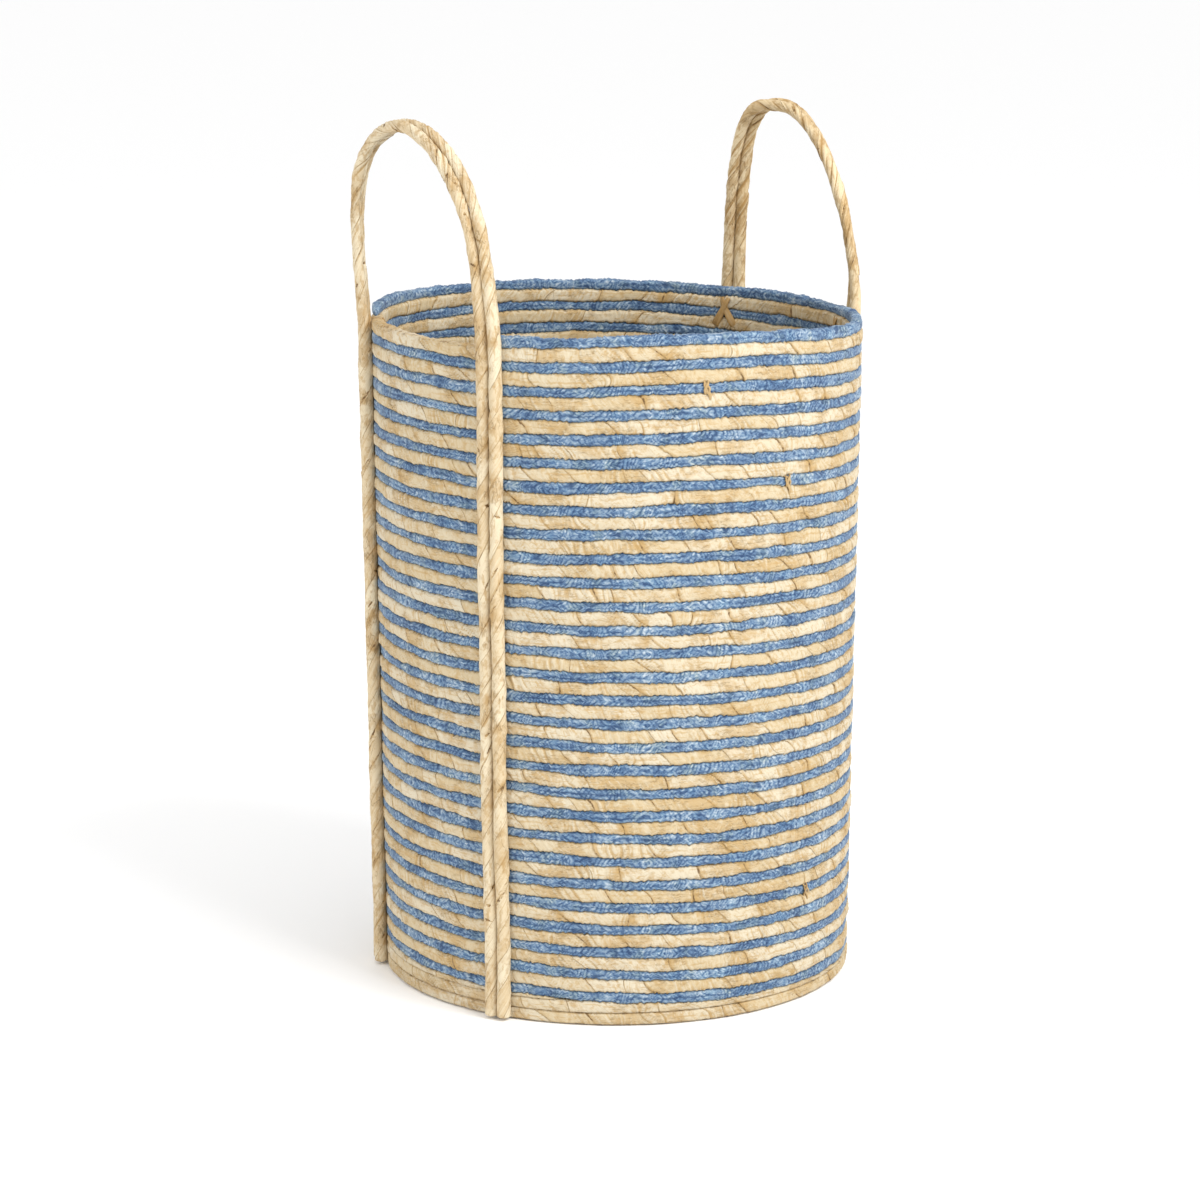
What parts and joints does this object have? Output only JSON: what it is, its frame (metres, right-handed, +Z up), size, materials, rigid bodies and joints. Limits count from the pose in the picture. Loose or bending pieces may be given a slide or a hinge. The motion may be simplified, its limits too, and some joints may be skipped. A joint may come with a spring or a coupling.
{
  "type": "woven laundry basket",
  "caption": "Tall round laundry basket of husk and blue rope courses laid in turn, with two husk rope handles that stand above the rim and flop in or out.",
  "frame": {"origin": "on the floor at the middle of the round base", "axes": "+Z up; the two handles face +X and -X, each a few degrees off that axis"},
  "size_m": [0.4065, 0.3996, 0.7115],
  "materials": {
    "husk_rope": "twisted dry maize husk, matte with a faint dry gloss",
    "blue_rope": "matte denim-blue rope with pale flecks",
    "handle_cord": "smooth tightly twisted husk cord, satin",
    "base_husk": "coiled husk rope, matte"
  },
  "bodies": {
    "basket": {"base_coil": "base_husk", "husk_foot_rope": "husk_rope", "husk_rope_01": "husk_rope", "husk_rope_02": "husk_rope", "husk_rope_03": "husk_rope", "husk_rope_04": "husk_rope", "husk_rope_05": "husk_rope", "husk_rope_06": "husk_rope", "husk_rope_07": "husk_rope", "husk_rope_08": "husk_rope", "husk_rope_09": "husk_rope", "husk_rope_10": "husk_rope", "husk_rope_11": "husk_rope", "husk_rope_12": "husk_rope", "husk_rope_13": "husk_rope", "husk_rope_14": "husk_rope", "husk_rope_15": "husk_rope", "blue_rope_01": "blue_rope", "blue_rope_02": "blue_rope", "blue_rope_03": "blue_rope", "blue_rope_04": "blue_rope", "blue_rope_05": "blue_rope", "blue_rope_06": "blue_rope", "blue_rope_07": "blue_rope", "blue_rope_08": "blue_rope", "blue_rope_09": "blue_rope", "blue_rope_10": "blue_rope", "blue_rope_11": "blue_rope", "blue_rope_12": "blue_rope", "blue_rope_13": "blue_rope", "blue_rope_14": "blue_rope", "blue_rim_rope": "blue_rope", "handle_left_leg_a_outer_cord": "handle_cord", "handle_left_leg_a_inner_cord": "handle_cord", "handle_left_leg_b_outer_cord": "handle_cord", "handle_left_leg_b_inner_cord": "handle_cord", "handle_right_leg_a_outer_cord": "handle_cord", "handle_right_leg_a_inner_cord": "handle_cord", "handle_right_leg_b_outer_cord": "handle_cord", "handle_right_leg_b_inner_cord": "handle_cord", "rim_lashing_left_a": "handle_cord", "rim_lashing_left_b": "handle_cord", "rim_lashing_right_a": "handle_cord", "rim_lashing_right_b": "handle_cord"},
    "handle_left": {"handle_left_loop_outer_cord": "handle_cord", "handle_left_loop_inner_cord": "handle_cord"},
    "handle_right": {"handle_right_loop_outer_cord": "handle_cord", "handle_right_loop_inner_cord": "handle_cord"}
  },
  "joints": [
    {"name": "handle_left_flop", "type": "hinge", "parent": "basket", "child": "handle_left", "pos_m": [-0.18244, -0.00637, 0.5621], "axis": [-0.0349, 0.9994, 0], "range_deg": [-90, 80], "stiffness_Nm_per_rad": 0.3},
    {"name": "handle_right_flop", "type": "hinge", "parent": "basket", "child": "handle_right", "pos_m": [0.18948, 0.02495, 0.54974], "axis": [0.1305, -0.9914, 0], "range_deg": [-90, 80], "stiffness_Nm_per_rad": 0.3}
  ]
}
